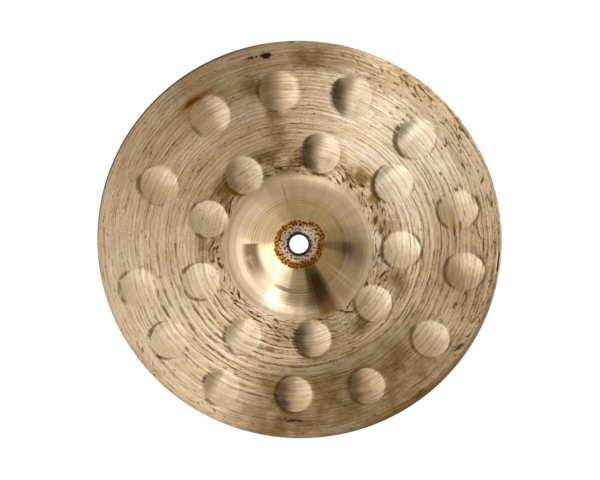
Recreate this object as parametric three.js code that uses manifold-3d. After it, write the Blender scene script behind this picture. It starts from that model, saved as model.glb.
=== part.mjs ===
// A 10 inch splash cymbal: one thin disc of bell bronze, pressed to a bell and a bow,
// dented all round with a ball-ended hammer, then turned, with a plain hole at its centre.
// Millimetres, +Z up. The rim's lower edge lies in the plane z = 0 and the hole is on the
// Z axis, so the bell stands up as it does in playing position.

import * as THREE from "three";
import { mergeVertices } from "three/addons/utils/BufferGeometryUtils.js";
import Module from "manifold-3d";

const wasm = await Module();
wasm.setup();

// Driving sizes of the disc
const rimDiameter = 254;
const wall = 0.7;
const holeDiameter = 12.7;
const crownDiameter = 22;
const bellDiameter = 90;
const bellHeight = 14;
const bowHeight = 12;

// Driving sizes of the hammered dents
const dentDiameter = 24;
const dentDepth = 1.5;
const outerRingDiameter = 203;
const innerRingDiameter = 128;

// How far a cutting shape runs past the face that it cuts
const overrun = 0.6;

// The bow falls away slowly by the bell and faster by the rim. The bell's wall is steepest
// a little inside the middle of its run, so it leaves a long flare where it meets the bow.
const bowPower = 1.5;
const bellPower = 0.8;

// Steps of the turned outline and of each dent
const turnSteps = 64;
const bellSteps = 8;
const bowSteps = 4;
const dentTurnSteps = 18;
const dentArcSteps = 2;

// Where the dents lie. They were struck by eye, so each has its own share of the full turn,
// counted from +X towards +Y, and its own share of the radius of its ring.
const outerDentShares = [
  { turn: 0.073, reach: 1.02 },
  { turn: 0.155, reach: 1.0 },
  { turn: 0.233, reach: 0.96 },
  { turn: 0.309, reach: 1.04 },
  { turn: 0.381, reach: 1.025 },
  { turn: 0.441, reach: 1.04 },
  { turn: 0.549, reach: 0.95 },
  { turn: 0.638, reach: 0.985 },
  { turn: 0.71, reach: 0.975 },
  { turn: 0.782, reach: 0.99 },
  { turn: 0.856, reach: 0.99 },
  { turn: 0.938, reach: 1.015 },
  { turn: 0.998, reach: 1.05 },
];
const innerDentShares = [
  { turn: 0.079, reach: 0.945 },
  { turn: 0.204, reach: 0.95 },
  { turn: 0.317, reach: 1.075 },
  { turn: 0.427, reach: 1.04 },
  { turn: 0.531, reach: 0.94 },
  { turn: 0.629, reach: 0.91 },
  { turn: 0.766, reach: 0.97 },
  { turn: 0.881, reach: 1.14 },
  { turn: 0.979, reach: 1.03 },
];

const rimRadius = rimDiameter / 2;
const holeRadius = holeDiameter / 2;
const crownRadius = crownDiameter / 2;
const bellRadius = bellDiameter / 2;
const dentRadius = dentDiameter / 2;

// Height of the underside over the rim's plane. The crown round the hole is flat.
function undersideHeight(radius) {
  const reach = Math.max(radius, crownRadius);
  const bow = bowHeight * (1 - (reach / rimRadius) ** bowPower);
  const run = Math.min((reach - crownRadius) / (bellRadius - crownRadius), 1);
  const bell = (bellHeight * (1 + Math.cos(Math.PI * run ** bellPower))) / 2;
  return bow + bell;
}

// The slope that the bow has at a dent, taken across the dent's own width
function bowTilt(radius) {
  const drop = undersideHeight(radius - dentRadius) - undersideHeight(radius + dentRadius);
  return Math.atan2(drop, dentDiameter);
}

// Evenly spaced radii from one ring to another, the first left out
function ringsBetween(from, to, steps) {
  const rings = [];
  for (let step = 1; step <= steps; step += 1) {
    rings.push(from + ((to - from) * step) / steps);
  }
  return rings;
}

// A closed outline turned about the Z axis, given as radius and height from the bottom up
function turned(outline, steps) {
  const geometry = new THREE.LatheGeometry(outline, steps);
  geometry.rotateX(Math.PI / 2);
  return geometry;
}

// A geometry as a solid: its seams are merged and the empty faces on its axis are dropped
function asSolid(geometry) {
  const bare = geometry.clone();
  bare.deleteAttribute("normal");
  bare.deleteAttribute("uv");
  const merged = mergeVertices(bare);
  const corners = merged.index.array;
  const faces = [];
  for (let at = 0; at < corners.length; at += 3) {
    const [a, b, c] = corners.slice(at, at + 3);
    if (a !== b && b !== c && c !== a) {
      faces.push(a, b, c);
    }
  }
  return new wasm.Manifold(
    new wasm.Mesh({
      numProp: 3,
      vertProperties: new Float32Array(merged.attributes.position.array),
      triVerts: new Uint32Array(faces),
    })
  );
}

function asGeometry(solid) {
  const mesh = solid.getMesh();
  const geometry = new THREE.BufferGeometry();
  geometry.setAttribute("position", new THREE.BufferAttribute(mesh.vertProperties, 3));
  geometry.setIndex(new THREE.BufferAttribute(mesh.triVerts, 1));
  geometry.computeVertexNormals();
  return geometry;
}

// The plain disc: both faces follow one curve, a wall apart, from the hole out to the rim
function plainDisc() {
  const radii = [
    holeRadius,
    crownRadius,
    ...ringsBetween(crownRadius, bellRadius, bellSteps),
    ...ringsBetween(bellRadius, rimRadius, bowSteps),
  ];
  const underside = radii.map((radius) => new THREE.Vector2(radius, undersideHeight(radius)));
  const top = underside.map((point) => new THREE.Vector2(point.x, point.y + wall));
  const outline = [...underside, ...top.reverse(), underside[0]];
  return asSolid(turned(outline, turnSteps));
}

// A slice of a ball, apex down, closed by a flat lid at a given height over the ball's centre
function ballSlice(ballRadius, lidHeight) {
  const opening = Math.acos(-lidHeight / ballRadius);
  const outline = [];
  for (let step = 0; step <= dentArcSteps; step += 1) {
    const angle = (opening * step) / dentArcSteps;
    outline.push(new THREE.Vector2(ballRadius * Math.sin(angle), -ballRadius * Math.cos(angle)));
  }
  outline[0].x = 0;
  outline.push(new THREE.Vector2(0, lidHeight));
  return turned(outline, dentTurnSteps);
}

// The ball that leaves a dent of the named width and depth, and how high its centre stands
const hammerRadius = (dentRadius ** 2 + dentDepth ** 2) / (2 * dentDepth);
const hammerHeight = hammerRadius - dentDepth;

// A dent is pressed in from the top, so the metal moves down by the same depth below it:
// the bulge keeps the wall's thickness, and its lid is buried at the middle of the wall.
const hollowSlice = ballSlice(hammerRadius, -(hammerHeight - overrun));
const bulgeSlice = ballSlice(hammerRadius + wall, -(hammerHeight + wall / 2));

// Moves a slice to its dent and leans it to the bow there
function placed(slice, share, ringDiameter) {
  const radius = (share.reach * ringDiameter) / 2;
  const angle = 2 * Math.PI * share.turn;
  const tilt = bowTilt(radius);
  const along = radius + hammerHeight * Math.sin(tilt);
  const up = undersideHeight(radius) + wall + hammerHeight * Math.cos(tilt);
  const seat = slice.clone();
  seat.rotateY(tilt);
  seat.translate(along, 0, up);
  seat.rotateZ(angle);
  return asSolid(seat);
}

// The finished cymbal: every bulge is added before any hollow is cut
function cymbalGeometry() {
  const dents = [
    ...outerDentShares.map((share) => ({ share, ringDiameter: outerRingDiameter })),
    ...innerDentShares.map((share) => ({ share, ringDiameter: innerRingDiameter })),
  ];
  let body = plainDisc();
  for (const { share, ringDiameter } of dents) {
    body = body.add(placed(bulgeSlice, share, ringDiameter));
  }
  for (const { share, ringDiameter } of dents) {
    body = body.subtract(placed(hollowSlice, share, ringDiameter));
  }
  return asGeometry(body);
}

const bronze = new THREE.MeshStandardMaterial({
  color: 0xbda98a,
  metalness: 0.9,
  roughness: 0.42,
});

const splash = new THREE.Group();
const cymbal = new THREE.Mesh(cymbalGeometry(), bronze);
cymbal.name = "cymbal";
splash.add(cymbal);

export default splash;
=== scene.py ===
import math

import bpy
from mathutils import Matrix, Vector


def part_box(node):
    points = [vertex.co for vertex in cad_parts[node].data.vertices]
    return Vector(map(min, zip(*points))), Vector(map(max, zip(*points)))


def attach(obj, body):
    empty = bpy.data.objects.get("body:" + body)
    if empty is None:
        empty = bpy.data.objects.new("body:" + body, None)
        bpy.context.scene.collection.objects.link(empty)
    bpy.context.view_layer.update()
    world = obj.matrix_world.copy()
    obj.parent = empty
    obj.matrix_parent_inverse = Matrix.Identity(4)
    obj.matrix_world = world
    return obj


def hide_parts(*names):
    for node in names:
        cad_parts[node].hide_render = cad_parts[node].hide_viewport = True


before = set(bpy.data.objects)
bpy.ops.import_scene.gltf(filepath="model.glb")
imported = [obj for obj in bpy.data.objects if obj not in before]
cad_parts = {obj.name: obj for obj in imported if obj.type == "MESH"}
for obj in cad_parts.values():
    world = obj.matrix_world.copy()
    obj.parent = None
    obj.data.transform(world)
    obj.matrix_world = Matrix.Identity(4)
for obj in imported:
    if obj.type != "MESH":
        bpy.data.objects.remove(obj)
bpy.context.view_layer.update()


# The cymbal's blank
# A round plate of cast and rolled bell bronze with a punched hole. Its two faces and its two
# edges are one closed skin of rings, still flat: it gets its shape further down.

low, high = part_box("cymbal")
rim_radius = (high.x - low.x) / 2
wall = 0.0007
hole_radius = 0.00635
crown_radius = 0.011
bell_radius = 0.045
edge_round = 0.00012

steps_round = 384
crown_rings = 8
bell_rings = 30
bow_rings = 127
top_crown_rings = 5
top_bell_rings = 20
top_bow_rings = 52


def spaced(start, end, count):
    """Evenly spaced radii from start to end, the start left out."""
    return [start + (end - start) * step / count for step in range(1, count + 1)]


def face_radii(crown_steps, bell_steps, bow_steps):
    """The rings of one face, from the hole's rounded edge to the rim's."""
    inner = hole_radius + edge_round
    outer = rim_radius - edge_round
    return [
        inner,
        *spaced(inner, crown_radius, crown_steps),
        *spaced(crown_radius, bell_radius, bell_steps),
        *spaced(bell_radius, outer, bow_steps),
    ]


round_share = edge_round / wall
outline = [(radius, 0.0) for radius in face_radii(crown_rings, bell_rings, bow_rings)]
outline += [(rim_radius, round_share), (rim_radius, 0.5), (rim_radius, 1 - round_share)]
top_radii = face_radii(top_crown_rings, top_bell_rings, top_bow_rings)
outline += [(radius, 1.0) for radius in reversed(top_radii)]
outline += [(hole_radius, 1 - round_share), (hole_radius, 0.5), (hole_radius, round_share)]

points = []
levels = []
for radius, level in outline:
    for step in range(steps_round):
        turn = 2 * math.pi * step / steps_round
        points.append((radius * math.cos(turn), radius * math.sin(turn), 0.0))
        levels.append(level)

faces = []
for ring in range(len(outline)):
    here = ring * steps_round
    there = (ring + 1) % len(outline) * steps_round
    for step in range(steps_round):
        after = (step + 1) % steps_round
        faces.append((here + step, here + after, there + after, there + step))

blank_mesh = bpy.data.meshes.new("blank")
blank_mesh.from_pydata(points, [], faces)
level_layer = blank_mesh.attributes.new("level", "FLOAT", "POINT")
level_layer.data.foreach_set("value", levels)
blank = bpy.data.objects.new("blank", blank_mesh)
bpy.context.scene.collection.objects.link(blank)


# The dents' places
# A ball-ended hammer was struck by eye at these places, in two loose rings on the playing
# side. A place is a share of the full turn from +X towards +Y and a share of its ring's radius.

outer_ring_radius = 0.1015
inner_ring_radius = 0.064
outer_dent_shares = [
    (0.073, 1.02), (0.155, 1.0), (0.233, 0.96), (0.309, 1.04), (0.381, 1.025),
    (0.441, 1.04), (0.549, 0.95), (0.638, 0.985), (0.71, 0.975), (0.782, 0.99),
    (0.856, 0.99), (0.938, 1.015), (0.998, 1.05),
]
inner_dent_shares = [
    (0.079, 0.945), (0.204, 0.95), (0.317, 1.075), (0.427, 1.04), (0.531, 0.94),
    (0.629, 0.91), (0.766, 0.97), (0.881, 1.14), (0.979, 1.03),
]


def dent_places(shares, ring_radius):
    """Where a ring's dents lie, in the flat plate."""
    places = []
    for turn_share, reach_share in shares:
        turn = 2 * math.pi * turn_share
        reach = ring_radius * reach_share
        places.append((reach * math.cos(turn), reach * math.sin(turn), 0.0))
    return places


dents = dent_places(outer_dent_shares, outer_ring_radius)
dents += dent_places(inner_dent_shares, inner_ring_radius)
marks_mesh = bpy.data.meshes.new("dent_marks")
marks_mesh.from_pydata(dents, [], [])
dent_marks = bpy.data.objects.new("dent_marks", marks_mesh)
bpy.context.scene.collection.objects.link(dent_marks)


# Pressing, hammering and turning
# The plate is pressed to a bell and a bow, dented from the top with a ball-ended hammer, and
# turned on a lathe, which leaves wavy ridges on the bow and fine lines on the bell.

forming = bpy.data.node_groups.new("forming", "GeometryNodeTree")


def step_node(tree, kind, **settings):
    """A new node of a kind with its own settings."""
    node = tree.nodes.new(kind)
    for name, value in settings.items():
        setattr(node, name, value)
    return node


def feed(tree, socket, value):
    """Puts a number, a vector or another node's output into a socket."""
    if isinstance(value, bpy.types.NodeSocket):
        tree.links.new(value, socket)
    else:
        socket.default_value = value


def maths(tree, operation, *values):
    """One step of arithmetic on numbers or outputs."""
    node = step_node(tree, "ShaderNodeMath", operation=operation)
    for socket, value in zip(node.inputs, values):
        feed(tree, socket, value)
    return node.outputs[0]


def vectors(tree, operation, *values):
    """One step of vector arithmetic. LENGTH, DISTANCE and DOT_PRODUCT give a number."""
    node = step_node(tree, "ShaderNodeVectorMath", operation=operation)
    sockets = node.inputs
    if operation == "SCALE":
        sockets = (node.inputs["Vector"], node.inputs["Scale"])
    for socket, value in zip(sockets, values):
        feed(tree, socket, value)
    number = operation in ("LENGTH", "DISTANCE", "DOT_PRODUCT")
    return node.outputs["Value" if number else "Vector"]


def combined(tree, x, y, z):
    """A vector from three numbers or outputs."""
    node = step_node(tree, "ShaderNodeCombineXYZ")
    for socket, value in zip(node.inputs, (x, y, z)):
        feed(tree, socket, value)
    return node.outputs[0]


def ramped(tree, value, start, end, to_start=0.0, to_end=1.0, smooth=True):
    """A value moved from one span to another and held at its ends."""
    node = step_node(tree, "ShaderNodeMapRange", clamp=True)
    node.interpolation_type = "SMOOTHSTEP" if smooth else "LINEAR"
    for socket, number in zip(node.inputs, (value, start, end, to_start, to_end)):
        feed(tree, socket, number)
    return node.outputs["Result"]


def noise(tree, place, scale=1.0, detail=2.0, rough=0.5):
    """Smooth noise, about 0.5 on average, at a place."""
    node = step_node(tree, "ShaderNodeTexNoise", noise_dimensions="3D")
    feed(tree, node.inputs["Vector"], place)
    node.inputs["Scale"].default_value = scale
    node.inputs["Detail"].default_value = detail
    node.inputs["Roughness"].default_value = rough
    return node.outputs[0]


def tree_input(name, kind, value=None):
    """A named input of the forming tree."""
    socket = forming.interface.new_socket(name, in_out="INPUT", socket_type=kind)
    if value is not None:
        socket.default_value = value
    return socket


form_sizes = {
    "Rim radius": rim_radius,
    "Crown radius": crown_radius,
    "Bell radius": bell_radius,
    "Bell height": 0.014,
    "Bow height": 0.012,
    "Wall": wall,
    "Dent radius": 0.012,
    "Dent depth": 0.0015,
    "Dent lip": 0.00007,
    "Crease reach": 0.0012,
    "Ridge height": 0.00016,
    "Ridge pitch": 0.0023,
    "Hammer waviness": 0.0003,
    "Seed": 7.0,
}

forming.interface.new_socket("Geometry", in_out="OUTPUT", socket_type="NodeSocketGeometry")
tree_input("Blank", "NodeSocketGeometry")
marks_socket = tree_input("Dent marks", "NodeSocketObject")
bronze_socket = tree_input("Bronze", "NodeSocketMaterial")
size_sockets = {}
for name, value in form_sizes.items():
    size_sockets[name] = tree_input(name, "NodeSocketFloat", value)
given = step_node(forming, "NodeGroupInput").outputs

place = step_node(forming, "GeometryNodeInputPosition").outputs[0]
level = step_node(forming, "GeometryNodeInputNamedAttribute", data_type="FLOAT")
level.inputs["Name"].default_value = "level"
level = level.outputs["Attribute"]

# The nearest dent, and how far each point lies from its middle, in dent radii
marks = step_node(forming, "GeometryNodeObjectInfo", transform_space="ORIGINAL")
feed(forming, marks.inputs["Object"], given["Dent marks"])
nearest = step_node(forming, "GeometryNodeSampleNearest", domain="POINT")
feed(forming, nearest.inputs["Geometry"], marks.outputs["Geometry"])
feed(forming, nearest.inputs["Sample Position"], place)
middle = step_node(forming, "GeometryNodeSampleIndex", data_type="FLOAT_VECTOR", domain="POINT")
feed(forming, middle.inputs["Geometry"], marks.outputs["Geometry"])
feed(forming, middle.inputs["Value"], place)
feed(forming, middle.inputs["Index"], nearest.outputs["Index"])
middle = middle.outputs["Value"]

# Points close to a dent's edge are drawn nearer to it, so that the edge is a clean crease
gap = vectors(forming, "DISTANCE", place, middle)
over = maths(forming, "SUBTRACT", gap, given["Dent radius"])
far_share = maths(forming, "DIVIDE", maths(forming, "ABSOLUTE", over), given["Crease reach"])
near_share = maths(forming, "MAXIMUM", maths(forming, "SUBTRACT", 1.0, far_share), 0.0)
outward = vectors(forming, "NORMALIZE", vectors(forming, "SUBTRACT", place, middle))
draw_in = maths(forming, "MULTIPLY", maths(forming, "MULTIPLY", over, near_share), -1.0)
flat = vectors(forming, "ADD", place, vectors(forming, "SCALE", outward, draw_in))
dent = maths(forming, "DIVIDE", vectors(forming, "DISTANCE", flat, middle), given["Dent radius"])
radius = vectors(forming, "LENGTH", flat)

# Pressed height: the bow falls away from the bell, and the bell from its flat crown
bow_power = 1.5
bell_power = 0.8
reach = maths(forming, "MAXIMUM", radius, given["Crown radius"])
bow = maths(forming, "POWER", maths(forming, "DIVIDE", reach, given["Rim radius"]), bow_power)
bow = maths(forming, "MULTIPLY", maths(forming, "SUBTRACT", 1.0, bow), given["Bow height"])
run = ramped(forming, reach, given["Crown radius"], given["Bell radius"], smooth=False)
run = maths(forming, "MULTIPLY", maths(forming, "POWER", run, bell_power), math.pi)
bell = maths(forming, "MULTIPLY", maths(forming, "ADD", maths(forming, "COSINE", run), 1.0), 0.5)
bell = maths(forming, "MULTIPLY", bell, given["Bell height"])
thick = maths(forming, "MULTIPLY", level, given["Wall"])
pressed = maths(forming, "ADD", maths(forming, "ADD", bow, bell), thick)

# Hammered: a round hollow inside each dent's edge and a low lip outside it, in dent radii
edge_softness = 0.10
lip_middle = 1.09
lip_half_width = 0.09
bowl = maths(forming, "SUBTRACT", 1.0, maths(forming, "MULTIPLY", dent, dent))
bowl = maths(forming, "SMOOTH_MAX", bowl, 0.0, edge_softness)
bowl = maths(forming, "MULTIPLY", bowl, given["Dent depth"])
off_lip = maths(forming, "ABSOLUTE", maths(forming, "SUBTRACT", dent, lip_middle))
lip = ramped(forming, off_lip, lip_half_width, 0.0)
lip = maths(forming, "MULTIPLY", lip, given["Dent lip"])
hammered = maths(forming, "SUBTRACT", lip, bowl)

# Turned: ridges that wander a little, strong on the bow and nearly none on the bell
ridge_wander = 2.2
waves_per_metre = 38.0
around = vectors(forming, "SCALE", vectors(forming, "NORMALIZE", flat), ridge_wander)
ring_place = maths(forming, "DIVIDE", radius, given["Ridge pitch"])
seeded = vectors(forming, "ADD", around, combined(forming, given["Seed"], level, ring_place))
ridge = maths(forming, "SUBTRACT", noise(forming, seeded, 1.0, 1.0), 0.5)
ridge = maths(forming, "MULTIPLY", ridge, given["Ridge height"])
ridges_start = maths(forming, "MULTIPLY", given["Bell radius"], 0.98)
ridges_full = maths(forming, "MULTIPLY", given["Bell radius"], 1.15)
on_bow = ramped(forming, radius, ridges_start, ridges_full)
wave_place = vectors(forming, "ADD", flat, combined(forming, given["Seed"], 0.0, 0.0))
wave = maths(forming, "SUBTRACT", noise(forming, wave_place, waves_per_metre, 1.0), 0.5)
wave = maths(forming, "MULTIPLY", wave, given["Hammer waviness"])
plain_rim = maths(forming, "MULTIPLY", given["Rim radius"], 0.985)
inside_rim = ramped(forming, radius, given["Rim radius"], plain_rim)
turned = maths(forming, "MULTIPLY", maths(forming, "ADD", ridge, wave), on_bow)
turned = maths(forming, "MULTIPLY", turned, inside_rim)

height = maths(forming, "ADD", maths(forming, "ADD", pressed, hammered), turned)
flat_parts = step_node(forming, "ShaderNodeSeparateXYZ")
feed(forming, flat_parts.inputs[0], flat)
formed = combined(forming, flat_parts.outputs["X"], flat_parts.outputs["Y"], height)

# Kept for dirt and painted shade: each point's distance from the nearest dent's middle, and its
# side
dirt_and_shade_turn = math.radians(163)
dirt_and_shade_way = (math.cos(dirt_and_shade_turn), math.sin(dirt_and_shade_turn), 0.0)
dirt_and_shade_side = vectors(forming, "DOT_PRODUCT", outward, dirt_and_shade_way)
geometry = given["Blank"]
for name, value in (("dent", dent), ("dent_side", dirt_and_shade_side)):
    store = step_node(forming, "GeometryNodeStoreNamedAttribute", data_type="FLOAT", domain="POINT")
    store.inputs["Name"].default_value = name
    feed(forming, store.inputs["Geometry"], geometry)
    feed(forming, store.inputs["Value"], value)
    geometry = store.outputs["Geometry"]
shape = step_node(forming, "GeometryNodeSetPosition")
feed(forming, shape.inputs["Geometry"], geometry)
feed(forming, shape.inputs["Position"], formed)
smooth = step_node(forming, "GeometryNodeSetShadeSmooth")
feed(forming, smooth.inputs["Geometry"], shape.outputs["Geometry"])
realized = step_node(forming, "GeometryNodeRealizeInstances")
feed(forming, realized.inputs["Geometry"], smooth.outputs["Geometry"])
painted = step_node(forming, "GeometryNodeSetMaterial")
feed(forming, painted.inputs["Geometry"], realized.outputs["Geometry"])
feed(forming, painted.inputs["Material"], given["Bronze"])
result = step_node(forming, "NodeGroupOutput")
feed(forming, result.inputs["Geometry"], painted.outputs["Geometry"])

bronze = bpy.data.materials.new("bronze")
bronze.use_nodes = True

work = blank.modifiers.new("forming", "NODES")
work.node_group = forming
work[marks_socket.identifier] = dent_marks
work[bronze_socket.identifier] = bronze
for name, value in form_sizes.items():
    work[size_sockets[name].identifier] = value

depsgraph = bpy.context.evaluated_depsgraph_get()
cymbal_mesh = bpy.data.meshes.new_from_object(blank.evaluated_get(depsgraph))
cymbal_mesh.name = "splash_plate"
cymbal = bpy.data.objects.new("splash_plate", cymbal_mesh)
bpy.context.scene.collection.objects.link(cymbal)
blank.modifiers.clear()
bpy.data.objects.remove(blank)
bpy.data.objects.remove(dent_marks)


# The bronze
# One metal all over: a turned, aged bow with brown patina in its grooves, a polished bell and a
# raw cast ring round the hole, which keeps its golden brown stain.

shader = bronze.node_tree
shader.nodes.clear()
surface = step_node(shader, "ShaderNodeBsdfPrincipled")
output = step_node(shader, "ShaderNodeOutputMaterial")
shader.links.new(surface.outputs[0], output.inputs["Surface"])


def linear(red, green, blue):
    """A colour picked on a screen, 0 to 255, as the linear values that a socket takes."""
    parts = []
    for part in (red / 255, green / 255, blue / 255):
        parts.append(part / 12.92 if part <= 0.04045 else ((part + 0.055) / 1.055) ** 2.4)
    return (*parts, 1.0)


def coat(share, below, above):
    """One colour over another, by a share from 0 to 1."""
    node = step_node(shader, "ShaderNodeMix", data_type="RGBA")
    factor, lower, upper = node.inputs[0], node.inputs[6], node.inputs[7]
    feed(shader, factor, share)
    feed(shader, lower, below)
    feed(shader, upper, above)
    return node.outputs[2]


def folded(operation, values):
    """Several numbers or outputs joined, one after another, by one operation."""
    joined = values[0]
    for value in values[1:]:
        joined = maths(shader, operation, joined, value)
    return joined


def times(*values):
    """The product of several numbers or outputs."""
    return folded("MULTIPLY", values)


def plus(*values):
    """The sum of several numbers or outputs."""
    return folded("ADD", values)


def most(*values):
    """The largest of several numbers or outputs."""
    return folded("MAXIMUM", values)


def minus(value, other):
    """One number or output less another."""
    return maths(shader, "SUBTRACT", value, other)


def rest_of(share):
    """What a share leaves of 1."""
    return minus(1.0, share)


def centred(value):
    """A noise moved so that it is about 0 on average."""
    return minus(value, 0.5)


def ramp(value, start, end, to_start=0.0, to_end=1.0):
    """A soft step from one end to the other."""
    return ramped(shader, value, start, end, to_start, to_end)


def stored(name):
    """A number that the forming left on each point."""
    node = step_node(shader, "ShaderNodeAttribute", attribute_type="GEOMETRY", attribute_name=name)
    return node.outputs["Fac"]


# The noise of the two faces is taken so far apart that their marks differ
faces_apart = 0.31
object_place = step_node(shader, "ShaderNodeTexCoord").outputs["Object"]
place_parts = step_node(shader, "ShaderNodeSeparateXYZ")
feed(shader, place_parts.inputs[0], object_place)
across, along = place_parts.outputs["X"], place_parts.outputs["Y"]
top_side = ramp(stored("level"), 0.2, 0.8)
underside = rest_of(top_side)
spot = combined(shader, across, along, times(top_side, faces_apart))
disc = combined(shader, across, along, 0.0)
reach = vectors(shader, "LENGTH", disc)
way = vectors(shader, "NORMALIZE", disc)
turn_here = maths(shader, "ARCTAN2", along, across)

# The lathe's lines wander over the hammered bow and run true on the bell
on_bow = ramp(reach, 0.0455, 0.052)
wander = times(centred(noise(shader, spot, 42.0)), 0.0020)
tremble = times(centred(noise(shader, spot, 170.0, 1.0)), 0.0005)
groove = plus(reach, times(plus(wander, tremble), on_bow))


def grain(length, width, detail=2.0):
    """Streaks round the plate, about so long and so wide, in metres."""
    streaks_apart = 37.0
    far = plus(times(groove, 1 / width), times(top_side, streaks_apart))
    streaks = combined(shader, times(across, 1 / length), times(along, 1 / length), far)
    return noise(shader, streaks, 1.0, detail)


def hatching(reach_out, width, length, lean):
    """Short marks across the grooves, about so wide and so long, leaning round the plate."""
    swirl = plus(turn_here, times(reach, lean))
    steps = reach_out / width
    round_x = times(maths(shader, "COSINE", swirl), steps)
    round_y = times(maths(shader, "SINE", swirl), steps)
    return noise(shader, combined(shader, round_x, round_y, times(reach, 1 / length)), 1.0, 1.0)


def way_at(turn):
    """The level direction at a turn in degrees from +X towards +Y."""
    angle = math.radians(turn)
    return Vector((math.cos(angle), math.sin(angle), 0.0))


def sector(turn, half_width, softness=12.0):
    """A share that is 1 round a turn in degrees and 0 away from it."""
    near = vectors(shader, "DOT_PRODUCT", way, way_at(turn))
    outer = math.cos(math.radians(half_width + softness))
    inner = math.cos(math.radians(max(half_width - softness, 0.0)))
    return ramp(near, outer, inner)


def band(value, middle, half_width, softness):
    """A share that is 1 close to a middle value and 0 away from it."""
    off = maths(shader, "ABSOLUTE", minus(value, middle))
    return ramp(off, half_width + softness, max(half_width - softness, 0.0))


smudge_edge = times(centred(grain(0.0030, 0.0014)), 1.3)


def smudge(reach_out, turn, length, width, softness=0.5):
    """A share that is 1 in a small streak along the grooves, on the underside alone."""
    turned_way = vectors(shader, "DOT_PRODUCT", disc, way_at(turn + 90) * (2 / length))
    offset = times(minus(groove, reach_out), 2 / width)
    facing = ramp(vectors(shader, "DOT_PRODUCT", way, way_at(turn)), 0.5, 0.6)
    far = vectors(shader, "LENGTH", combined(shader, turned_way, offset, 0.0))
    far = plus(far, smudge_edge)
    return times(ramp(far, 1.0 + softness, 1.0 - softness), facing, underside)


# Streaks from long to short, and blots, spots and grit that don't follow the grooves
bands = grain(0.110, 0.0060)
lines = grain(0.034, 0.0011)
hair = grain(0.012, 0.0005, 1.0)
short = grain(0.0050, 0.0011, 1.0)
blotch = noise(shader, spot, 16.0, 3.0)
mottle = noise(shader, spot, 75.0, 3.0)
grit = noise(shader, spot, 620.0, 2.0)


def ridges(pitch, swing):
    """A wave across the grooves, 1 on a ridge and -1 between two, swung aside by the bands."""
    turns = plus(times(groove, 1 / pitch), times(bands, swing))
    return maths(shader, "COSINE", times(turns, 2 * math.pi))


# Even ridges of the turning tool, which come and go along each turn
ridge = ridges(0.00235, 2.2)
ridge_share = ramp(grain(0.045, 0.0030), 0.36, 0.62, 0.15, 1.0)
crest = times(ramp(ridge, 0.35, 0.95), ridge_share)
furrow = times(ramp(ridge, -0.45, -0.98), ramp(grain(0.026, 0.0030), 0.44, 0.66))

# Broad ridges with brown rows between them, on the left at the back and on the right
wide_ridge = ridges(0.0040, 1.8)
wide_side = most(sector(126, 38, 22.0), times(sector(-10, 48, 20.0), 0.6))
wide_side = times(wide_side, ramp(reach, 0.056, 0.066), ramp(reach, 0.112, 0.100), underside)
row_pieces = ramp(grain(0.0070, 0.0034, 1.0), 0.47, 0.58)
brown_rows = times(ramp(wide_ridge, -0.1, -0.8), row_pieces, wide_side)

# How light the bow is: weighted layers round a middle tone. The crests and the broad ridges' tops
# are lighter and the furrows darker, as painted highlight and shade of the ridges. The layers are
# fainter on the playing side, on the dents, at the front and on the outer bow at the back.
middle_tone = 0.57
tone_layers = (
    (centred(bands), 0.5),
    (centred(lines), 1.0),
    (centred(hair), 1.0),
    (centred(short), 0.6),
    (centred(blotch), 0.5),
    (centred(grit), 0.6),
    (crest, 0.32),
    (furrow, -0.30),
    (times(wide_ridge, wide_side), 0.17),
)
contrast = plus(*(times(layer, weight) for layer, weight in tone_layers))
dent_reach = stored("dent")
dent_side = stored("dent_side")
in_dent = ramp(dent_reach, 1.02, 0.96)
faint_back = times(sector(78, 34, 20.0), ramp(reach, 0.080, 0.095))
faint_places = ((top_side, 0.55), (in_dent, 0.72), (most(sector(-98, 38, 20.0), faint_back), 0.74))
for faint_place, left_over in faint_places:
    contrast = times(contrast, ramp(faint_place, 0.0, 1.0, 1.0, left_over))
tone = plus(middle_tone, contrast)

brown = linear(132, 91, 32)
tan = linear(220, 193, 158)
cream = linear(243, 228, 208)
colour = coat(ramp(tone, 0.04, 0.50), brown, tan)
colour = coat(ramp(tone, 0.50, 0.98), colour, cream)

# Stains and dirt are fainter on the dents and on the playing side
off_dents = rest_of(times(in_dent, 0.85))
grime = ramp(top_side, 0.0, 1.0, 1.0, 0.35)

# Brown patina lies over the outer bow, unevenly. Each patch has its turn and half width in
# degrees, the reach where it starts and where it is full, and its strength.
patina_patches = (
    (62, 38, 0.068, 0.094, 0.84),
    (-99, 13, 0.106, 0.116, 0.60),
    (-138, 24, 0.088, 0.106, 0.35),
    (-8, 20, 0.076, 0.094, 0.48),
    (52, 18, 0.117, 0.122, 1.0),
    (-50, 24, 0.100, 0.116, 0.40),
)
clean_rim = sector(-140, 82, 16.0)
patina = times(ramp(reach, 0.121, 0.1262, 0.0, 0.34), ramp(clean_rim, 0.0, 1.0, 1.0, 0.1))
for patch_turn, patch_half, starts_at, full_at, strength in patina_patches:
    patch = times(sector(patch_turn, patch_half, 14.0), ramp(reach, starts_at, full_at), strength)
    patina = most(patina, patch)
patchy = ramp(plus(blotch, times(centred(mottle), 0.7)), 0.30, 0.62, 0.45, 1.0)
patina = times(patina, patchy, off_dents, grime)
patina_brown = linear(132, 97, 28)
colour = coat(patina, colour, patina_brown)

# Below, where the dents stand out, they are rubbed pale, the inner ring more than the outer
rubbed = times(in_dent, ramp(reach, 0.080, 0.092, 0.42, 0.14), underside)
rubbed_cream = linear(246, 228, 202)
colour = coat(rubbed, colour, rubbed_cream)
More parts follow.
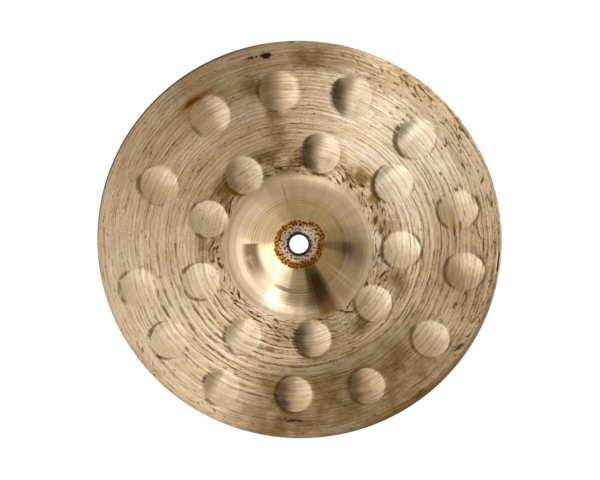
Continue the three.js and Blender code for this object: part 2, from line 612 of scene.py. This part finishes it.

# Painted sheen makes clean metal paler on the left and a little on the right; it is cooler on the
# right at the front
unstained = times(underside, rest_of(patina))
bow_sheen = most(sector(162, 48, 20.0), times(sector(24, 10, 10.0), 0.9))
bow_sheen = times(bow_sheen, ramp(reach, 0.060, 0.105))
rim_sheen = times(sector(-145, 75, 16.0), ramp(reach, 0.1185, 0.1215))
painted_sheen = times(most(bow_sheen, rim_sheen), unstained)
sheen_cream = linear(240, 220, 194)
colour = coat(times(painted_sheen, 0.36), colour, sheen_cream)
cool = times(sector(-54, 26, 20.0), ramp(reach, 0.060, 0.075), ramp(reach, 0.126, 0.114))
cool_cream = linear(214, 207, 192)
colour = coat(times(cool, unstained, 0.34), colour, cool_cream)

# Golden clouds on both faces
golden = ramp(noise(shader, combined(shader, across, along, 3.0), 24.0, 3.0), 0.52, 0.72)
old_gold = linear(176, 140, 84)
colour = coat(times(golden, 0.30, off_dents), colour, old_gold)

# Stains, each with its reach, its turn, its length along the grooves and its width across them
stain_places = (
    (0.0655, 43.3, 0.016, 0.010),
    (0.0672, 11.0, 0.014, 0.011),
    (0.0700, 74.0, 0.014, 0.012),
    (0.0790, -107.5, 0.010, 0.024),
    (0.1185, -94.0, 0.016, 0.012),
    (0.1040, -112.5, 0.015, 0.014),
)
stains = most(*(smudge(*stain_place, softness=0.7) for stain_place in stain_places))
stains = times(stains, ramp(mottle, 0.30, 0.55, 0.3, 0.8), off_dents)
stain_brown = linear(128, 98, 44)
colour = coat(stains, colour, stain_brown)

# Dark dashes, in rows between the ridges and scattered over dirty patches
furrow_dirt = times(furrow, ramp(mottle, 0.44, 0.62), sector(-22, 62, 20.0))
flecks = ramp(grain(0.0036, 0.0010, 1.0), 0.63, 0.71)
foot_zone = times(ramp(reach, 0.0465, 0.0490), ramp(reach, 0.067, 0.057))
outer_dirt = times(ramp(reach, 0.100, 0.115), 0.45)
dirty = most(ramp(mottle, 0.50, 0.62), times(foot_zone, 0.9), outer_dirt)
spots = ramp(grain(0.0056, 0.0017, 0.5), 0.64, 0.71)
spots = times(spots, sector(-27, 48, 12.0), ramp(reach, 0.092, 0.102), ramp(mottle, 0.40, 0.50))
dash = most(times(flecks, dirty), times(spots, 0.9))
dash = most(dash, times(brown_rows, 0.62), times(furrow_dirt, 0.7))
dash = times(dash, on_bow, grime, rest_of(times(in_dent, 0.55)))
dash_brown = linear(98, 66, 18)
colour = coat(times(dash, 0.8), colour, dash_brown)

# Chatter: short slanting marks on stained metal round the bell's foot
foot_reach = 0.055
lean_share = ramp(noise(shader, combined(shader, across, along, 5.0), 55.0), 0.44, 0.50)
leaning_on = ramp(hatching(foot_reach, 0.0034, 0.0036, 30.0), 0.570, 0.620)
leaning_back = ramp(hatching(foot_reach, 0.0042, 0.0028, -45.0), 0.570, 0.620)
foot_marks = most(times(leaning_on, lean_share), times(leaning_back, rest_of(lean_share)))
foot_marks = times(foot_marks, foot_zone, ramp(mottle, 0.34, 0.46), off_dents, grime)
chatter_brown = linear(86, 52, 6)
colour = coat(times(foot_marks, 0.95), colour, chatter_brown)
foot_side = ramp(vectors(shader, "DOT_PRODUCT", way, way_at(-105)), -0.6, 0.7, 0.38, 1.2)
foot_stain = times(band(reach, 0.0575, 0.009, 0.006), ramp(mottle, 0.32, 0.62))
foot_stain = times(foot_stain, off_dents, foot_side, grime)
foot_brown = linear(124, 88, 30)
colour = coat(times(foot_stain, 0.75), colour, foot_brown)

# Chatter: short ticks along the rim
ticks = ramp(hatching(0.1205, 0.0036, 0.0060, 9.0), 0.59, 0.64)
ticks = times(ticks, band(reach, 0.1214, 0.0015, 0.0012), underside)
dark_ticks = times(ticks, most(sector(-47, 32), sector(20, 24)), ramp(mottle, 0.34, 0.50))
tick_brown = linear(88, 64, 30)
colour = coat(times(dark_ticks, 0.9), colour, tick_brown)
tan_ticks = times(ticks, most(sector(-80, 12), sector(120, 26)))
tick_tan = linear(144, 110, 60)
colour = coat(times(tan_ticks, 0.7), colour, tick_tan)

# Dirt and painted shade gather outside each dent, thickest on its left, the side turned from the
# light, and on the right of the cymbal on both sides. Its width and its distance from the dent's
# middle are in dent radii.
dirt_and_shade_middle = 1.055
right_dents = sector(-6, 40)
far_side = times(right_dents, ramp(dent_side, -0.1, -0.8), 0.8)
dirt_and_shade_reach = plus(dent_side, times(far_side, 1.5), times(centred(mottle), 2.4))
dirt_and_shade_width = ramp(dirt_and_shade_reach, -0.4, 1.2, 0.02, 0.18)
edge_wobble = times(centred(noise(shader, spot, 300.0, 2.0)), 0.10)
off_middle = maths(shader, "ABSOLUTE", minus(plus(dent_reach, edge_wobble), dirt_and_shade_middle))
crescent = ramp(rest_of(maths(shader, "DIVIDE", off_middle, dirt_and_shade_width)), 0.0, 0.7)

# The dirt and painted shade are broken up, but less so round some turns, each with its half width
# and how whole they are there
whole_places = ((-51, 5, 1.0), (-6, 20, 0.75), (29, 5, 0.85), (56, 5, 0.8))
whole = ramp(plus(mottle, times(centred(short), 0.5)), 0.38, 0.60, 0.05, 1.0)
for whole_turn, whole_half, wholeness in whole_places:
    whole = most(whole, times(sector(whole_turn, whole_half, 4.0), wholeness))
dirt_and_shade_facing = most(ramp(dent_side, -0.5, 0.7), far_side)
open_ends = most(rest_of(right_dents), ramp(maths(shader, "ABSOLUTE", dent_side), 0.25, 0.85))
cleaner_dents = most(times(sector(-132, 6, 3.0), 0.75), times(sector(-105, 8, 3.0), 0.7))
cleaner_dents = times(cleaner_dents, ramp(reach, 0.080, 0.090))
crescent = times(crescent, dirt_and_shade_facing, whole, open_ends, rest_of(cleaner_dents))
crescent = times(crescent, on_bow, grime)
thin_dirt_and_shade = most(sector(44, 26), sector(180, 32))
dirt_and_shade_colour = coat(thin_dirt_and_shade, linear(98, 68, 14), linear(132, 102, 38))
colour = coat(times(crescent, 0.85), colour, dirt_and_shade_colour)

# A dark line of painted shadow on parts of the rim's edge
rim_shadow_line = times(ramp(reach, 0.1258, 0.1265), most(sector(-142, 34), sector(52, 12)), underside)
rim_shade = linear(64, 48, 28)
colour = coat(times(rim_shadow_line, 0.8), colour, rim_shade)

# Inside the dents at the front and at the back, dirt and painted shade darken the side where the
# dirt is thickest, turned from the light
left_inner_dent = times(sector(-134, 12, 4.0), ramp(reach, 0.078, 0.070), 0.6)
inner_dark_places = most(sector(-84, 24, 8.0), sector(74, 30, 8.0), left_inner_dent)
inner_dirt_and_shade = times(in_dent, ramp(dent_reach, 0.20, 0.75), ramp(dent_side, 0.15, 0.85), inner_dark_places, underside)
inner_dirt_and_shade = times(inner_dirt_and_shade, most(whole, 0.8), ramp(reach, 0.080, 0.092, 1.0, 0.85))
inner_dirt_and_shade_brown = linear(76, 55, 18)
colour = coat(times(inner_dirt_and_shade, 0.92), colour, inner_dirt_and_shade_brown)

# The outer dents on the right are dull, with painted shade darker on their left, and the rim beyond
# them at the back is golden
dull_and_shaded = times(in_dent, sector(-8, 24, 10.0), ramp(reach, 0.080, 0.092), underside)
dull_and_shaded = times(dull_and_shaded, ramp(times(dent_side, dent_reach), -0.25, 0.35, 0.35, 1.0))
dull_and_shade_tan = linear(166, 140, 98)
colour = coat(times(dull_and_shaded, 0.62), colour, dull_and_shade_tan)
gold_rim = times(ramp(reach, 0.1228, 0.1260), sector(34, 26), underside)
rim_gold = linear(140, 104, 36)
colour = coat(times(gold_rim, 0.75), colour, rim_gold)

# The bell is polished: fine true rings, and faint lines of painted sheen that fan out at the front
# and the back
fine_rings = centred(grain(0.30, 0.00060))
ring_side = vectors(shader, "DOT_PRODUCT", way, way_at(126.87))
ring_strength = ramp(ring_side, -0.6, 0.3, 1.2, 2.6)
broad_rings = centred(grain(0.12, 0.0019))
sheen_fan_lines = hatching(0.030, 0.0032, 0.060, 0.0)
back_sheen_fan = times(sector(75, 45, 15.0), ramp(reach, 0.030, 0.040), 1.6)
sheen_fan_side = most(sector(-92, 70, 20.0), back_sheen_fan)
bell_tone = plus(
    0.5,
    times(fine_rings, ring_strength),
    times(broad_rings, 0.9),
    times(centred(mottle), 0.3),
    times(centred(sheen_fan_lines), sheen_fan_side, 0.8),
)

# It is yellower towards the hole, except on its left at the back
bell_cream = linear(230, 210, 184)
outer_bell = coat(bell_tone, linear(187, 164, 135), bell_cream)
inner_bell = coat(bell_tone, linear(186, 163, 120), linear(222, 202, 162))
inner_bell = coat(times(sector(128, 40), 0.55), inner_bell, bell_cream)
bell_colour = coat(ramp(reach, 0.0360, 0.0270), outer_bell, inner_bell)
on_bell = ramp(reach, 0.0495, 0.0460)
colour = coat(on_bell, colour, bell_colour)

# A double dark ring halfway up the bell
double_ring = most(band(reach, 0.0293, 0.0003, 0.0002), band(reach, 0.0307, 0.0004, 0.0003))
double_ring = times(double_ring, ramp(noise(shader, spot, 60.0), 0.3, 0.65, 0.1, 0.6))
ring_shade = linear(112, 96, 62)
colour = coat(double_ring, colour, ring_shade)

# A painted dark reflection on the bell's left, which starts at a sharp edge and fades towards the
# back
past_edge = vectors(shader, "DOT_PRODUCT", way, (0.030, 1.0, 0.0))
bell_dark_reflection = times(ramp(past_edge, 0.0, 0.05), ramp(past_edge, 1.04, 0.40))
bell_dark_reflection = times(bell_dark_reflection, ramp(across, 0.0, -0.01), underside)
bell_dark_reflection = times(bell_dark_reflection, ramp(reach, 0.0240, 0.0290), ramp(reach, 0.0385, 0.0335))
bell_dark_reflection = times(bell_dark_reflection, ramp(noise(shader, spot, 130.0), 0.25, 0.5, 0.7, 1.0))
dark_reflection_brown = linear(98, 74, 50)
colour = coat(times(bell_dark_reflection, 0.94), colour, dark_reflection_brown)

# A wedge of painted dark reflection at the back, a faint one on the right and two lines of painted
# highlight between them
back_dark_reflection = times(sector(56, 6, 7.0), ramp(reach, 0.018, 0.024), on_bell, underside)
back_dark_reflection = times(back_dark_reflection, ramp(sheen_fan_lines, 0.40, 0.56, 0.55, 1.0))
back_dark_reflection = times(back_dark_reflection, ramp(reach, 0.034, 0.044, 0.80, 0.85))
back_reflection_brown = linear(128, 90, 22)
colour = coat(back_dark_reflection, colour, back_reflection_brown)
right_dark_reflection = times(sector(-4, 9, 8.0), band(reach, 0.0360, 0.0100, 0.0060), underside)
right_reflection_brown = linear(110, 84, 40)
colour = coat(times(right_dark_reflection, 0.35), colour, right_reflection_brown)
painted_highlight_lines = most(sector(23.8, 1.0, 1.6), times(sector(30.3, 0.6, 1.4), 0.6))
painted_highlight_lines = times(painted_highlight_lines, band(reach, 0.0330, 0.0110, 0.0060))
painted_highlight_lines = times(painted_highlight_lines, ramp(mottle, 0.30, 0.55, 0.4, 1.0), underside)
highlight_white = linear(255, 240, 206)
colour = coat(times(painted_highlight_lines, 0.50), colour, highlight_white)

# A scratch up the bell at the front and a small stain on it at the back
scratch = times(sector(-111.5, 0.3, 0.5), band(reach, 0.0330, 0.0090, 0.0030), underside)
scratch = times(scratch, ramp(noise(shader, spot, 210.0), 0.35, 0.6))
scratch_brown = linear(100, 82, 50)
colour = coat(times(scratch, 0.6), colour, scratch_brown)
bell_stain = smudge(0.0297, 104, 0.011, 0.0022)
bell_stain_brown = linear(112, 76, 22)
colour = coat(times(bell_stain, 0.7), colour, bell_stain_brown)

# The raw ring round the hole was never turned: rough, with a golden brown stained border
lump = times(sector(312, 22), 0.0022)
coarse_edge = times(centred(noise(shader, spot, 260.0, 3.0)), 0.0036)
fine_edge = times(centred(noise(shader, spot, 900.0, 1.0)), 0.0012)
ragged = plus(coarse_edge, fine_edge)
raw_edge = plus(minus(reach, lump), ragged)
raw = times(ramp(raw_edge, 0.0168, 0.0164), underside)
speck_place = combined(shader, times(across, 640.0), times(along, 640.0), 4.0)
speck = noise(shader, speck_place, 1.0, 2.0, 0.6)
raw_colour = coat(ramp(speck, 0.50, 0.58), linear(216, 194, 168), linear(86, 58, 34))
border_colour = coat(ramp(speck, 0.40, 0.48), linear(214, 162, 60), linear(168, 104, 16))
border_colour = coat(ramp(speck, 0.48, 0.55), border_colour, linear(78, 44, 10))
browner = times(sector(82, 40, 25.0), ramp(mottle, 0.3, 0.6, 0.3, 0.7))
border_colour = coat(browner, border_colour, linear(128, 72, 12))
border = ramp(raw_edge, 0.0116, 0.0138)
colour = coat(raw, colour, coat(border, raw_colour, border_colour))
hole_edge = ramp(plus(reach, times(ragged, 0.8)), 0.0090, 0.0078)
hole_black = linear(30, 20, 12)
colour = coat(times(hole_edge, 0.94), colour, hole_black)

# The playing side is cleaner and a little more golden
top_gold = linear(222, 184, 118)
colour = coat(times(top_side, 0.30), colour, top_gold)

# The upper felt has worn a dull brown ring on the crown's top
felt_worn = times(ramp(reach, 0.0180, 0.0150), top_side)
worn_tan = linear(176, 152, 116)
colour = coat(times(felt_worn, 0.35), colour, worn_tan)
felt_mark = times(band(reach, 0.0165, 0.0012, 0.0016), ramp(mottle, 0.3, 0.6, 0.4, 1.0), top_side)
felt_brown = linear(108, 84, 48)
colour = coat(times(felt_mark, 0.55), colour, felt_brown)

# Marks that the years left on the underside: rust, black scorches and dark lines
broken = ramp(grain(0.0022, 0.0012, 1.0), 0.42, 0.52, 0.15, 1.0)
rust = linear(160, 106, 30)
dark_rust = linear(108, 50, 12)
black = linear(32, 23, 14)
years_marks = (
    (smudge(0.1120, 228.6, 0.024, 0.0040, 0.7), 0.92, rust),
    (smudge(0.1122, 227.0, 0.010, 0.0026, 0.6), 0.70, dark_rust),
    (smudge(0.1203, 253.3, 0.007, 0.0034, 0.3), 0.96, black),
    (times(smudge(0.1206, 249.6, 0.012, 0.0014, 0.3), broken), 0.92, black),
    (times(smudge(0.1152, 84.6, 0.019, 0.0020, 0.3), broken), 0.92, black),
    (smudge(0.1256, 355.4, 0.015, 0.0012, 0.3), 0.85, black),
    (smudge(0.0990, 343.8, 0.018, 0.0020, 0.6), 0.55, rust),
    (smudge(0.0990, 345.0, 0.007, 0.0011, 0.3), 0.85, dark_rust),
    (smudge(0.1028, 343.0, 0.008, 0.0011, 0.4), 0.85, dark_rust),
)
for share, strength, mark_colour in years_marks:
    colour = coat(times(share, strength), colour, mark_colour)
feed(shader, surface.inputs["Base Color"], colour)

# Dirt is rougher and less metallic than the bow, and the polished bell is the smoothest
soiled = most(dash, foot_marks, hole_edge)
soiled = most(soiled, times(crescent, 0.8), times(raw, 0.9), times(patina, 0.6))
bow_roughness = ramp(tone, 0.2, 0.9, 0.48, 0.36)
bell_roughness = 0.22
added_roughness = 0.22
roughness = plus(
    times(bow_roughness, rest_of(on_bell)),
    times(on_bell, bell_roughness),
    times(soiled, added_roughness),
)
feed(shader, surface.inputs["Roughness"], roughness)
feed(shader, surface.inputs["Metallic"], ramp(soiled, 0.0, 1.0, 1.0, 0.75))

# The tool's lines blur reflections across them, so the shine runs out from the hole
surface.inputs["Anisotropic"].default_value = 0.95
surface.inputs["Anisotropic Rotation"].default_value = 0.25
tangent = step_node(shader, "ShaderNodeTangent", direction_type="RADIAL", axis="Z")
shader.links.new(tangent.outputs[0], surface.inputs["Tangent"])

# Heights in metres of the lines and grit that are too fine for the mesh
rough_bow = ramp(reach, 0.0490, 0.0560)
relief = plus(
    times(lines, 0.00006, rough_bow),
    times(hair, 0.00002, rough_bow),
    times(fine_rings, 0.000012, on_bell),
    times(plus(crest, grit), 0.00003, rough_bow),
    times(wide_ridge, 0.00003, wide_side),
    times(speck, 0.00012, raw),
)
bump = step_node(shader, "ShaderNodeBump")
bump.inputs["Distance"].default_value = 1.0
bump.inputs["Strength"].default_value = 1.0
feed(shader, bump.inputs["Height"], relief)
feed(shader, surface.inputs["Normal"], bump.outputs["Normal"])

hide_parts("cymbal")
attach(cymbal, "root")


# The studio
# A plain pale floor that only shows from above, soft lamps and toned screens over and under
# the cymbal, and a camera below it, as the photograph looks at the hollow side.

# The camera and the reflections see plain white; a dimmer, warmer room lights the rest
world = bpy.data.worlds.new("studio")
bpy.context.scene.world = world
world.use_nodes = True
sky = world.node_tree
sky.nodes.clear()
backdrop = step_node(sky, "ShaderNodeBackground")
backdrop.inputs["Color"].default_value = (1.0, 1.0, 1.0, 1.0)
backdrop.inputs["Strength"].default_value = 1.0
room = step_node(sky, "ShaderNodeBackground")
room.inputs["Color"].default_value = (1.0, 0.98, 0.95, 1.0)
room.inputs["Strength"].default_value = 0.45
ray = step_node(sky, "ShaderNodeLightPath")
seen = maths(sky, "MAXIMUM", ray.outputs["Is Camera Ray"], ray.outputs["Is Glossy Ray"])
seen = maths(sky, "MAXIMUM", seen, ray.outputs["Is Transmission Ray"])
pick = step_node(sky, "ShaderNodeMixShader")
sky_out = step_node(sky, "ShaderNodeOutputWorld")
sky.links.new(seen, pick.inputs[0])
sky.links.new(room.outputs[0], pick.inputs[1])
sky.links.new(backdrop.outputs[0], pick.inputs[2])
sky.links.new(pick.outputs[0], sky_out.inputs["Surface"])

middle_of_plate = Vector((0.0, 0.0, 0.01))


def around_plate(turn, tilt, distance):
    """A point at a turn from +X towards +Y and a tilt from straight below, in degrees."""
    tilt = math.radians(tilt)
    way_out = way_at(turn) * math.sin(tilt) - Vector((0.0, 0.0, math.cos(tilt)))
    return middle_of_plate + way_out * distance


def lamp(name, turn, tilt, distance, size, level):
    """A soft lamp, as wide and as long towards the middle as its size says, of an even level."""
    data = bpy.data.lights.new(name, "AREA")
    data.shape = "RECTANGLE"
    data.size, data.size_y = size
    data.energy = level * math.pi * data.size * data.size_y
    thing = bpy.data.objects.new(name, data)
    thing.location = around_plate(turn, tilt, distance)
    thing.rotation_mode = "QUATERNION"
    thing.rotation_quaternion = (thing.location - middle_of_plate).to_track_quat("Z", "Y")
    bpy.context.scene.collection.objects.link(thing)


def screen(name, turns, tilts, distance, level):
    """A curved card of an even tone, browner if dim, which only reflections in the metal show."""
    columns = 12
    levels_up = 8
    corners = []
    for row in range(levels_up + 1):
        tilt = tilts[0] + (tilts[1] - tilts[0]) * row / levels_up
        for column in range(columns + 1):
            turn = turns[0] + (turns[1] - turns[0]) * column / columns
            corners.append(around_plate(turn, tilt, distance))
    panes = []
    for row in range(levels_up):
        for column in range(columns):
            first = row * (columns + 1) + column
            panes.append((first, first + 1, first + columns + 2, first + columns + 1))
    mesh = bpy.data.meshes.new(name)
    mesh.from_pydata(corners, [], panes)
    tone_material = bpy.data.materials.new(name)
    tone_material.use_nodes = True
    tone_tree = tone_material.node_tree
    tone_tree.nodes.clear()
    glow = step_node(tone_tree, "ShaderNodeEmission")
    glow.inputs["Color"].default_value = (1.0, 0.78 + 0.15 * level, 0.46 + 0.38 * level, 1.0)
    glow.inputs["Strength"].default_value = level
    tone_output = step_node(tone_tree, "ShaderNodeOutputMaterial")
    tone_tree.links.new(glow.outputs[0], tone_output.inputs["Surface"])
    tone_material.cycles.emission_sampling = "NONE"
    mesh.materials.append(tone_material)
    thing = bpy.data.objects.new(name, mesh)
    bpy.context.scene.collection.objects.link(thing)
    thing.visible_camera = False
    thing.visible_diffuse = False
    thing.visible_shadow = False
    thing.visible_transmission = False


# The lamps, each with its turn, its tilt, its distance, its size in metres and its level
lamp("key_below", -62, 18, 0.60, (0.08, 0.46), 2.5)
lamp("soft_below", -24, 46, 0.60, (0.66, 0.50), 1.2)
lamp("key_above", -62, 138, 0.70, (0.16, 0.40), 4.5)
lamp("soft_above", -10, 130, 0.80, (0.60, 0.60), 1.6)

# The screens that the underside reflects, each with its turns, its tilts and its level. The dark
# gap makes the bell's dark wedge.
screens_below = (
    ("front_low_screen", (246, 277), (2, 30), 0.60),
    ("front_dim_screen", (246, 277), (30, 56), 0.28),
    ("front_screen", (246, 277), (56, 85), 0.74),
    ("dark_gap_screen", (226, 246), (2, 85), 0.09),
    ("dim_gap_screen", (214, 226), (2, 85), 0.09),
    ("left_screen", (166, 214), (2, 85), 0.43),
    ("left_low_screen", (134, 166), (2, 46), 0.34),
    ("left_dark_screen", (151, 167), (46, 64), 0.02),
    ("left_dim_screen", (152, 166), (64, 85), 0.37),
    ("left_back_screen", (134, 152), (46, 85), 0.42),
    ("back_screen", (68, 134), (2, 85), 0.60),
    ("back_light_screen", (56, 68), (2, 85), 0.80),
    ("right_screen", (14, 56), (2, 85), 1.04),
    ("far_right_screen", (-83, 14), (66, 85), 0.75),
)
below_distance = 0.9
for name, turns, tilts, level in screens_below:
    screen(name, turns, tilts, below_distance, level)

# The screens that the playing side reflects
screens_above = (
    ("front_left_screen_above", (228, 272), 0.10),
    ("left_screen_above", (140, 228), 0.40),
    ("back_screen_above", (50, 140), 0.55),
)
above_distance = 1.2
above_tilts = (97, 178)
for name, turns, level in screens_above:
    screen(name, turns, above_tilts, above_distance, level)

# The floor takes the cymbal's shadow, fades to plain white further out and is clear from below
half_floor = 0.8
fade_starts = 0.30
fade_ends = 0.78
floor_corners = []
for x, y in ((-1, -1), (1, -1), (1, 1), (-1, 1)):
    floor_corners.append((x * half_floor, y * half_floor, 0.0))
floor_mesh = bpy.data.meshes.new("floor")
floor_mesh.from_pydata(floor_corners, [], [(0, 1, 2, 3)])
floor = bpy.data.objects.new("floor", floor_mesh)
bpy.context.scene.collection.objects.link(floor)
floor_paint = bpy.data.materials.new("floor_paint")
floor_mesh.materials.append(floor_paint)
floor_paint.use_nodes = True
paper = floor_paint.node_tree
paper.nodes.clear()
spot_here = step_node(paper, "ShaderNodeTexCoord").outputs["Object"]
far_share = ramped(paper, vectors(paper, "LENGTH", spot_here), fade_starts, fade_ends)
matt = step_node(paper, "ShaderNodeBsdfDiffuse")
matt.inputs["Color"].default_value = (0.50, 0.50, 0.50, 1.0)
lit = step_node(paper, "ShaderNodeEmission")
lit.inputs["Strength"].default_value = 0.52
near_floor = step_node(paper, "ShaderNodeAddShader")
paper.links.new(matt.outputs[0], near_floor.inputs[0])
paper.links.new(lit.outputs[0], near_floor.inputs[1])
white = step_node(paper, "ShaderNodeEmission")
white.inputs["Strength"].default_value = 1.0
whole_floor = step_node(paper, "ShaderNodeMixShader")
feed(paper, whole_floor.inputs[0], far_share)
paper.links.new(near_floor.outputs[0], whole_floor.inputs[1])
paper.links.new(white.outputs[0], whole_floor.inputs[2])
from_below = step_node(paper, "ShaderNodeNewGeometry").outputs["Backfacing"]
one_way = step_node(paper, "ShaderNodeMixShader")
feed(paper, one_way.inputs[0], from_below)
paper.links.new(whole_floor.outputs[0], one_way.inputs[1])
paper.links.new(step_node(paper, "ShaderNodeBsdfTransparent").outputs[0], one_way.inputs[2])
floor_output = step_node(paper, "ShaderNodeOutputMaterial")
paper.links.new(one_way.outputs[0], floor_output.inputs["Surface"])
floor.visible_diffuse = False
floor.visible_glossy = False
floor.visible_transmission = False
floor.visible_shadow = False

# The camera is tilted and rolled a little, and aimed beside the middle, as in the photograph
camera_data = bpy.data.cameras.new("camera")
camera = bpy.data.objects.new("camera", camera_data)
bpy.context.scene.collection.objects.link(camera)
bpy.context.scene.camera = camera
lens_share_of_width = 0.97
camera_data.sensor_width = 36.0
camera_data.lens = camera_data.sensor_width * lens_share_of_width
camera_data.clip_start = 0.01
camera_tilt = math.radians(-79.75)
camera_roll = math.radians(7.7)
camera_distance = 0.3758
aim_right = 0.00111
aim_up = 0.0056
back = Vector((0.0, -math.cos(camera_tilt), math.sin(camera_tilt)))
right = Vector((1.0, 0.0, 0.0))
up = back.cross(right)
rolled_right = right * math.cos(camera_roll) + up * math.sin(camera_roll)
rolled_up = up * math.cos(camera_roll) - right * math.sin(camera_roll)
aim = middle_of_plate + rolled_right * aim_right + rolled_up * aim_up
turned_axes = Matrix((rolled_right, rolled_up, back)).transposed()
camera.matrix_world = Matrix.Translation(aim + back * camera_distance) @ turned_axes.to_4x4()

bpy.context.scene.view_settings.view_transform = "Standard"
